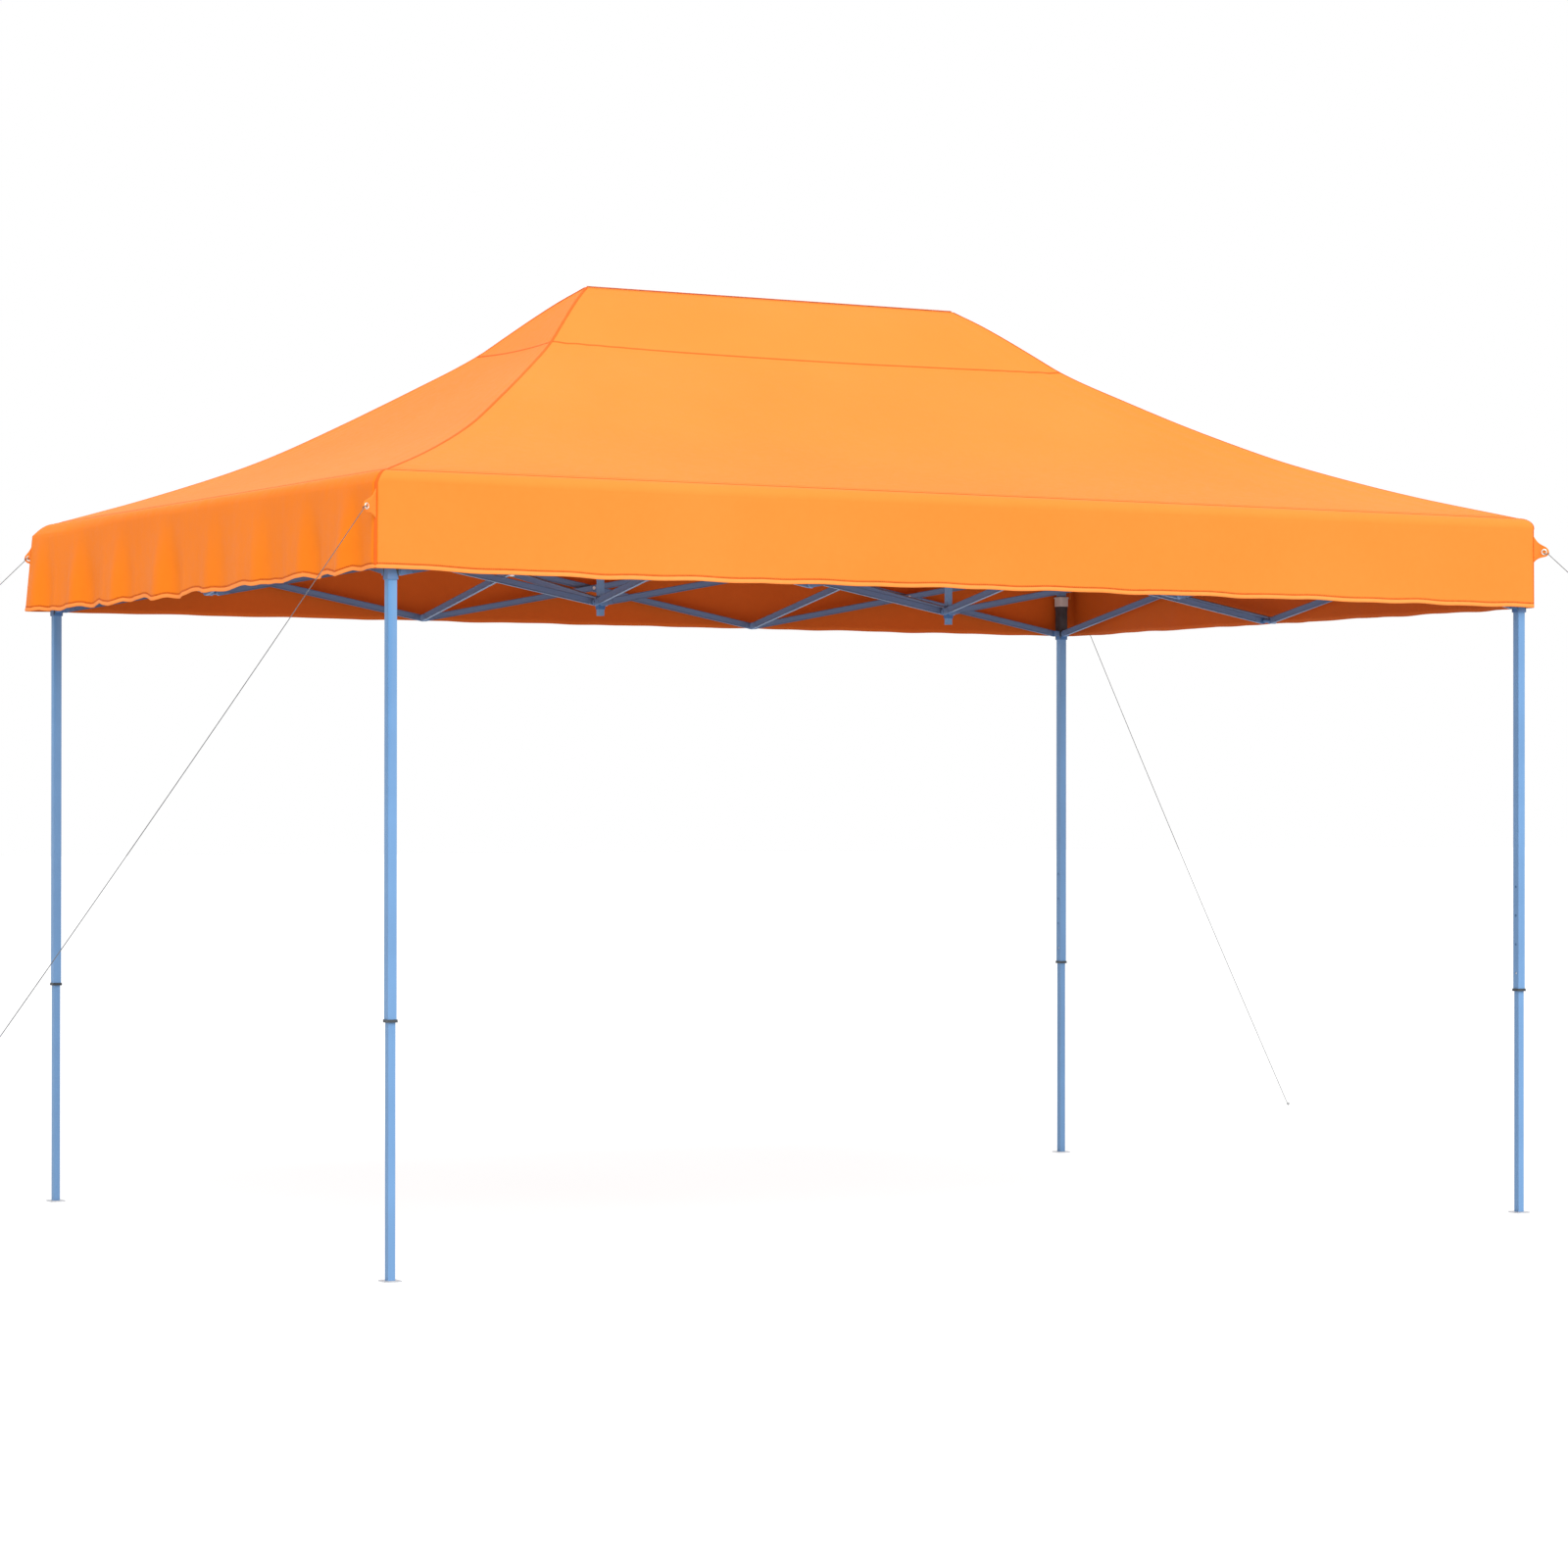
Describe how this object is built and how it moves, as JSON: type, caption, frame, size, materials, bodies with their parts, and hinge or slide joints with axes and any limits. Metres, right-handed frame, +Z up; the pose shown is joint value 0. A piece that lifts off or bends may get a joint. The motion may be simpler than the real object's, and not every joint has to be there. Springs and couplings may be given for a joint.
{
  "type": "folding party shelter",
  "caption": "folding scissor-frame shelter with a hipped fabric roof, short valance, telescoping legs on flat foot plates and corner guy ropes",
  "frame": {"origin": "on the ground under the middle of the frame", "axes": "+X along the long side, +Y along the short side, +Z up"},
  "size_m": [8.8078, 5.667, 3.19],
  "materials": {
    "frame_blue": "blue powder-coated steel tube",
    "black_plastic": "black moulded nylon fittings",
    "grey_plastic": "light grey moulded plastic",
    "zinc": "bright zinc-plated steel",
    "canopy_fabric": "orange woven polyester, coated inside",
    "guy_rope": "pale grey braided cord"
  },
  "bodies": {
    "crown_l": {"crown_l": "frame_blue", "canopy": "canopy_fabric"},
    "crown_r": {"crown_r": "frame_blue"},
    "post_l": {"post_l": "frame_blue"},
    "post_r": {"post_r": "frame_blue"},
    "post_top_l": {"post_top_l": "frame_blue"},
    "post_top_r": {"post_top_r": "frame_blue"},
    "knuckle_l": {"knuckle_l": "zinc"},
    "leg_fl": {"leg_fl": "frame_blue", "rope_fl": "guy_rope"},
    "inner_fl": {"inner_fl": "frame_blue"},
    "slider_fl": {"slider_fl": "black_plastic"},
    "catch_fl": {"catch_fl": "grey_plastic"},
    "leg_fr": {"leg_fr": "frame_blue", "rope_fr": "guy_rope"},
    "inner_fr": {"inner_fr": "frame_blue"},
    "slider_fr": {"slider_fr": "black_plastic"},
    "catch_fr": {"catch_fr": "grey_plastic"},
    "leg_bl": {"leg_bl": "frame_blue", "rope_bl": "guy_rope"},
    "inner_bl": {"inner_bl": "frame_blue"},
    "slider_bl": {"slider_bl": "black_plastic"},
    "leg_br": {"leg_br": "frame_blue", "rope_br": "guy_rope"},
    "inner_br": {"inner_br": "frame_blue"},
    "slider_br": {"slider_br": "black_plastic"},
    "bar_b1a": {"bar_b1a": "frame_blue"},
    "bar_b1b": {"bar_b1b": "frame_blue"},
    "bar_b2a": {"bar_b2a": "frame_blue"},
    "bar_b2b": {"bar_b2b": "frame_blue"},
    "bar_b3a": {"bar_b3a": "frame_blue"},
    "bar_b3b": {"bar_b3b": "frame_blue"},
    "bar_f1a": {"bar_f1a": "frame_blue"},
    "bar_f1b": {"bar_f1b": "frame_blue"},
    "bar_f2a": {"bar_f2a": "frame_blue"},
    "bar_f2b": {"bar_f2b": "frame_blue"},
    "bar_f3a": {"bar_f3a": "frame_blue"},
    "bar_f3b": {"bar_f3b": "frame_blue"},
    "bar_l1a": {"bar_l1a": "frame_blue"},
    "bar_l1b": {"bar_l1b": "frame_blue"},
    "bar_l2a": {"bar_l2a": "frame_blue"},
    "bar_l2b": {"bar_l2b": "frame_blue"},
    "bar_m1a": {"bar_m1a": "frame_blue"},
    "bar_m1b": {"bar_m1b": "frame_blue"},
    "bar_m2a": {"bar_m2a": "frame_blue"},
    "bar_m2b": {"bar_m2b": "frame_blue"},
    "bar_m3a": {"bar_m3a": "frame_blue"},
    "bar_m3b": {"bar_m3b": "frame_blue"},
    "bar_p1a": {"bar_p1a": "frame_blue"},
    "bar_p1b": {"bar_p1b": "frame_blue"},
    "bar_p2a": {"bar_p2a": "frame_blue"},
    "bar_p2b": {"bar_p2b": "frame_blue"},
    "bar_q1a": {"bar_q1a": "frame_blue"},
    "bar_q1b": {"bar_q1b": "frame_blue"},
    "bar_q2a": {"bar_q2a": "frame_blue"},
    "bar_q2b": {"bar_q2b": "frame_blue"},
    "bar_r1a": {"bar_r1a": "frame_blue"},
    "bar_r1b": {"bar_r1b": "frame_blue"},
    "bar_r2a": {"bar_r2a": "frame_blue"},
    "bar_r2b": {"bar_r2b": "frame_blue"}
  },
  "joints": [
    {"name": "fold", "type": "hinge", "parent": "crown_l", "child": "bar_m2a", "pos_m": [-0.70333, 0, 2.368], "axis": [0, 1, 0], "range_deg": [0, 76], "deforming": ["rope_fl", "rope_fr", "rope_bl", "rope_br"]},
    {"name": "pin_m1b", "type": "hinge", "parent": "crown_l", "child": "bar_m1b", "pos_m": [-0.70333, 0, 2.368], "axis": [0, 1, 0], "range_deg": [-76, 0]},
    {"name": "pin_p1b", "type": "hinge", "parent": "crown_l", "child": "bar_p1b", "pos_m": [-0.70333, 0, 2.368], "axis": [1, 0, 0], "range_deg": [0, 76]},
    {"name": "pin_p2a", "type": "hinge", "parent": "crown_l", "child": "bar_p2a", "pos_m": [-0.70333, 0, 2.368], "axis": [1, 0, 0], "range_deg": [-76, 0]},
    {"name": "pin_m1a", "type": "hinge", "parent": "bar_m1b", "child": "bar_m1a", "pos_m": [-1.40667, 0, 2.237], "axis": [0, 1, 0], "range_deg": [0, 152]},
    {"name": "pin_m2b", "type": "hinge", "parent": "bar_m2a", "child": "bar_m2b", "pos_m": [0, 0, 2.237], "axis": [0, 1, 0], "range_deg": [-152, 0]},
    {"name": "pin_post_l", "type": "hinge", "parent": "bar_m1a", "child": "post_l", "pos_m": [-0.70333, 0, 2.106], "axis": [0, 1, 0], "range_deg": [-76, 0]},
    {"name": "pin_crown_r", "type": "hinge", "parent": "bar_m2b", "child": "crown_r", "pos_m": [0.70333, 0, 2.368], "axis": [0, 1, 0], "range_deg": [0, 76]},
    {"name": "pin_post_r", "type": "hinge", "parent": "bar_m2a", "child": "post_r", "pos_m": [0.70333, 0, 2.106], "axis": [0, 1, 0], "range_deg": [-76, 0]},
    {"name": "pin_m3a", "type": "hinge", "parent": "crown_r", "child": "bar_m3a", "pos_m": [0.70333, 0, 2.368], "axis": [0, 1, 0], "range_deg": [0, 76]},
    {"name": "pin_m3b", "type": "hinge", "parent": "bar_m3a", "child": "bar_m3b", "pos_m": [1.40667, 0, 2.237], "axis": [0, 1, 0], "range_deg": [-152, 0]},
    {"name": "pin_p1a", "type": "hinge", "parent": "bar_p1b", "child": "bar_p1a", "pos_m": [-0.70333, -0.70333, 2.237], "axis": [1, 0, 0], "range_deg": [-152, 0]},
    {"name": "pin_p2b", "type": "hinge", "parent": "bar_p2a", "child": "bar_p2b", "pos_m": [-0.70333, 0.70333, 2.237], "axis": [1, 0, 0], "range_deg": [0, 152]},
    {"name": "pin_q1b", "type": "hinge", "parent": "crown_r", "child": "bar_q1b", "pos_m": [0.70333, 0, 2.368], "axis": [1, 0, 0], "range_deg": [0, 76]},
    {"name": "pin_q2a", "type": "hinge", "parent": "crown_r", "child": "bar_q2a", "pos_m": [0.70333, 0, 2.368], "axis": [1, 0, 0], "range_deg": [-76, 0]},
    {"name": "pin_q1a", "type": "hinge", "parent": "bar_q1b", "child": "bar_q1a", "pos_m": [0.70333, -0.70333, 2.237], "axis": [1, 0, 0], "range_deg": [-152, 0]},
    {"name": "pin_q2b", "type": "hinge", "parent": "bar_q2a", "child": "bar_q2b", "pos_m": [0.70333, 0.70333, 2.237], "axis": [1, 0, 0], "range_deg": [0, 152]},
    {"name": "pin_knuckle_l", "type": "hinge", "parent": "bar_m1b", "child": "knuckle_l", "pos_m": [-2.11, 0, 2.106], "axis": [0, 1, 0], "range_deg": [0, 76]},
    {"name": "pin_l1a", "type": "hinge", "parent": "knuckle_l", "child": "bar_l1a", "pos_m": [-2.14, 0, 2.106], "axis": [1, 0, 0], "range_deg": [-76, 0]},
    {"name": "pin_l2b", "type": "hinge", "parent": "knuckle_l", "child": "bar_l2b", "pos_m": [-2.14, 0, 2.106], "axis": [1, 0, 0], "range_deg": [0, 76]},
    {"name": "pin_leg_fl", "type": "hinge", "parent": "bar_l1a", "child": "leg_fl", "pos_m": [-2.14, -1.40667, 2.368], "axis": [1, 0, 0], "range_deg": [0, 76]},
    {"name": "pin_leg_bl", "type": "hinge", "parent": "bar_l2b", "child": "leg_bl", "pos_m": [-2.14, 1.40667, 2.368], "axis": [1, 0, 0], "range_deg": [-76, 0]},
    {"name": "pin_l1b", "type": "hinge", "parent": "bar_l1a", "child": "bar_l1b", "pos_m": [-2.14, -0.70333, 2.237], "axis": [1, 0, 0], "range_deg": [0, 152]},
    {"name": "pin_l2a", "type": "hinge", "parent": "bar_l2b", "child": "bar_l2a", "pos_m": [-2.14, 0.70333, 2.237], "axis": [1, 0, 0], "range_deg": [-152, 0]},
    {"name": "pin_slider_fl", "type": "hinge", "parent": "bar_l1b", "child": "slider_fl", "pos_m": [-2.14, -1.40667, 2.106], "axis": [1, 0, 0], "range_deg": [-76, 0]},
    {"name": "pin_slider_bl", "type": "hinge", "parent": "bar_l2a", "child": "slider_bl", "pos_m": [-2.14, 1.40667, 2.106], "axis": [1, 0, 0], "range_deg": [0, 76]},
    {"name": "pin_f1a", "type": "hinge", "parent": "leg_fl", "child": "bar_f1a", "pos_m": [-2.11, -1.43667, 2.368], "axis": [0, 1, 0], "range_deg": [0, 76]},
    {"name": "pin_f1b", "type": "hinge", "parent": "bar_f1a", "child": "bar_f1b", "pos_m": [-1.40667, -1.43667, 2.237], "axis": [0, 1, 0], "range_deg": [-152, 0]},
    {"name": "pin_f2b", "type": "hinge", "parent": "bar_f1a", "child": "bar_f2b", "pos_m": [-0.70333, -1.43667, 2.106], "axis": [0, 1, 0], "range_deg": [-152, 0]},
    {"name": "pin_f2a", "type": "hinge", "parent": "bar_f1b", "child": "bar_f2a", "pos_m": [-0.70333, -1.43667, 2.368], "axis": [0, 1, 0], "range_deg": [0, 152]},
    {"name": "pin_f3a", "type": "hinge", "parent": "bar_f2b", "child": "bar_f3a", "pos_m": [0.70333, -1.43667, 2.368], "axis": [0, 1, 0], "range_deg": [0, 152]},
    {"name": "pin_f3b", "type": "hinge", "parent": "bar_f2a", "child": "bar_f3b", "pos_m": [0.70333, -1.43667, 2.106], "axis": [0, 1, 0], "range_deg": [-152, 0]},
    {"name": "pin_leg_fr", "type": "hinge", "parent": "bar_f3b", "child": "leg_fr", "pos_m": [2.11, -1.43667, 2.368], "axis": [0, 1, 0], "range_deg": [0, 76]},
    {"name": "pin_slider_fr", "type": "hinge", "parent": "bar_f3a", "child": "slider_fr", "pos_m": [2.11, -1.43667, 2.106], "axis": [0, 1, 0], "range_deg": [-76, 0]},
    {"name": "pin_b1a", "type": "hinge", "parent": "leg_bl", "child": "bar_b1a", "pos_m": [-2.11, 1.43667, 2.368], "axis": [0, 1, 0], "range_deg": [0, 76]},
    {"name": "pin_b1b", "type": "hinge", "parent": "bar_b1a", "child": "bar_b1b", "pos_m": [-1.40667, 1.43667, 2.237], "axis": [0, 1, 0], "range_deg": [-152, 0]},
    {"name": "pin_b2b", "type": "hinge", "parent": "bar_b1a", "child": "bar_b2b", "pos_m": [-0.70333, 1.43667, 2.106], "axis": [0, 1, 0], "range_deg": [-152, 0]},
    {"name": "pin_b2a", "type": "hinge", "parent": "bar_b1b", "child": "bar_b2a", "pos_m": [-0.70333, 1.43667, 2.368], "axis": [0, 1, 0], "range_deg": [0, 152]},
    {"name": "pin_b3a", "type": "hinge", "parent": "bar_b2b", "child": "bar_b3a", "pos_m": [0.70333, 1.43667, 2.368], "axis": [0, 1, 0], "range_deg": [0, 152]},
    {"name": "pin_b3b", "type": "hinge", "parent": "bar_b2a", "child": "bar_b3b", "pos_m": [0.70333, 1.43667, 2.106], "axis": [0, 1, 0], "range_deg": [-152, 0]},
    {"name": "pin_leg_br", "type": "hinge", "parent": "bar_b3b", "child": "leg_br", "pos_m": [2.11, 1.43667, 2.368], "axis": [0, 1, 0], "range_deg": [0, 76]},
    {"name": "pin_slider_br", "type": "hinge", "parent": "bar_b3a", "child": "slider_br", "pos_m": [2.11, 1.43667, 2.106], "axis": [0, 1, 0], "range_deg": [-76, 0]},
    {"name": "pin_r1a", "type": "hinge", "parent": "leg_fr", "child": "bar_r1a", "pos_m": [2.14, -1.40667, 2.368], "axis": [1, 0, 0], "range_deg": [-76, 0]},
    {"name": "pin_r1b", "type": "hinge", "parent": "bar_r1a", "child": "bar_r1b", "pos_m": [2.14, -0.70333, 2.237], "axis": [1, 0, 0], "range_deg": [0, 152]},
    {"name": "pin_r2b", "type": "hinge", "parent": "bar_r1a", "child": "bar_r2b", "pos_m": [2.14, 0, 2.106], "axis": [1, 0, 0], "range_deg": [0, 152]},
    {"name": "pin_r2a", "type": "hinge", "parent": "bar_r2b", "child": "bar_r2a", "pos_m": [2.14, 0.70333, 2.237], "axis": [1, 0, 0], "range_deg": [-152, 0]},
    {"name": "leg_slide_fl", "type": "slide", "parent": "leg_fl", "child": "inner_fl", "axis": [0, 0, 1], "range_m": [0, 0.7]},
    {"name": "catch_slide_fl", "type": "slide", "parent": "slider_fl", "child": "catch_fl", "axis": [0, 0, 1], "range_m": [0, 0.008], "stiffness_N_per_m": 400, "springref_m": -0.002},
    {"name": "leg_slide_fr", "type": "slide", "parent": "leg_fr", "child": "inner_fr", "axis": [0, 0, 1], "range_m": [0, 0.7]},
    {"name": "catch_slide_fr", "type": "slide", "parent": "slider_fr", "child": "catch_fr", "axis": [0, 0, 1], "range_m": [0, 0.008], "stiffness_N_per_m": 400, "springref_m": -0.002},
    {"name": "leg_slide_bl", "type": "slide", "parent": "leg_bl", "child": "inner_bl", "axis": [0, 0, 1], "range_m": [0, 0.7]},
    {"name": "leg_slide_br", "type": "slide", "parent": "leg_br", "child": "inner_br", "axis": [0, 0, 1], "range_m": [0, 0.7]},
    {"name": "post_slide_l", "type": "slide", "parent": "crown_l", "child": "post_top_l", "axis": [0, 0, 1], "range_m": [-0.745, 0]},
    {"name": "post_slide_r", "type": "slide", "parent": "crown_r", "child": "post_top_r", "axis": [0, 0, 1], "range_m": [-0.745, 0]}
  ],
  "couplings": [
    {"joint": "pin_m1b", "follows": "fold", "ratio": -1},
    {"joint": "pin_p1b", "follows": "fold", "ratio": 1},
    {"joint": "pin_p2a", "follows": "fold", "ratio": -1},
    {"joint": "pin_m1a", "follows": "fold", "ratio": 2},
    {"joint": "pin_m2b", "follows": "fold", "ratio": -2},
    {"joint": "pin_post_l", "follows": "fold", "ratio": -1},
    {"joint": "pin_crown_r", "follows": "fold", "ratio": 1},
    {"joint": "pin_post_r", "follows": "fold", "ratio": -1},
    {"joint": "pin_m3a", "follows": "fold", "ratio": 1},
    {"joint": "pin_m3b", "follows": "fold", "ratio": -2},
    {"joint": "pin_p1a", "follows": "fold", "ratio": -2},
    {"joint": "pin_p2b", "follows": "fold", "ratio": 2},
    {"joint": "pin_q1b", "follows": "fold", "ratio": 1},
    {"joint": "pin_q2a", "follows": "fold", "ratio": -1},
    {"joint": "pin_q1a", "follows": "fold", "ratio": -2},
    {"joint": "pin_q2b", "follows": "fold", "ratio": 2},
    {"joint": "pin_knuckle_l", "follows": "fold", "ratio": 1},
    {"joint": "pin_l1a", "follows": "fold", "ratio": -1},
    {"joint": "pin_l2b", "follows": "fold", "ratio": 1},
    {"joint": "pin_leg_fl", "follows": "fold", "ratio": 1},
    {"joint": "pin_leg_bl", "follows": "fold", "ratio": -1},
    {"joint": "pin_l1b", "follows": "fold", "ratio": 2},
    {"joint": "pin_l2a", "follows": "fold", "ratio": -2},
    {"joint": "pin_slider_fl", "follows": "fold", "ratio": -1},
    {"joint": "pin_slider_bl", "follows": "fold", "ratio": 1},
    {"joint": "pin_f1a", "follows": "fold", "ratio": 1},
    {"joint": "pin_f1b", "follows": "fold", "ratio": -2},
    {"joint": "pin_f2b", "follows": "fold", "ratio": -2},
    {"joint": "pin_f2a", "follows": "fold", "ratio": 2},
    {"joint": "pin_f3a", "follows": "fold", "ratio": 2},
    {"joint": "pin_f3b", "follows": "fold", "ratio": -2},
    {"joint": "pin_leg_fr", "follows": "fold", "ratio": 1},
    {"joint": "pin_slider_fr", "follows": "fold", "ratio": -1},
    {"joint": "pin_b1a", "follows": "fold", "ratio": 1},
    {"joint": "pin_b1b", "follows": "fold", "ratio": -2},
    {"joint": "pin_b2b", "follows": "fold", "ratio": -2},
    {"joint": "pin_b2a", "follows": "fold", "ratio": 2},
    {"joint": "pin_b3a", "follows": "fold", "ratio": 2},
    {"joint": "pin_b3b", "follows": "fold", "ratio": -2},
    {"joint": "pin_leg_br", "follows": "fold", "ratio": 1},
    {"joint": "pin_slider_br", "follows": "fold", "ratio": -1},
    {"joint": "pin_r1a", "follows": "fold", "ratio": -1},
    {"joint": "pin_r1b", "follows": "fold", "ratio": 2},
    {"joint": "pin_r2b", "follows": "fold", "ratio": 2},
    {"joint": "pin_r2a", "follows": "fold", "ratio": -2},
    {"joint": "post_slide_l", "follows": "fold", "m_per_rad": -0.5609},
    {"joint": "post_slide_r", "follows": "fold", "m_per_rad": -0.5609}
  ]
}
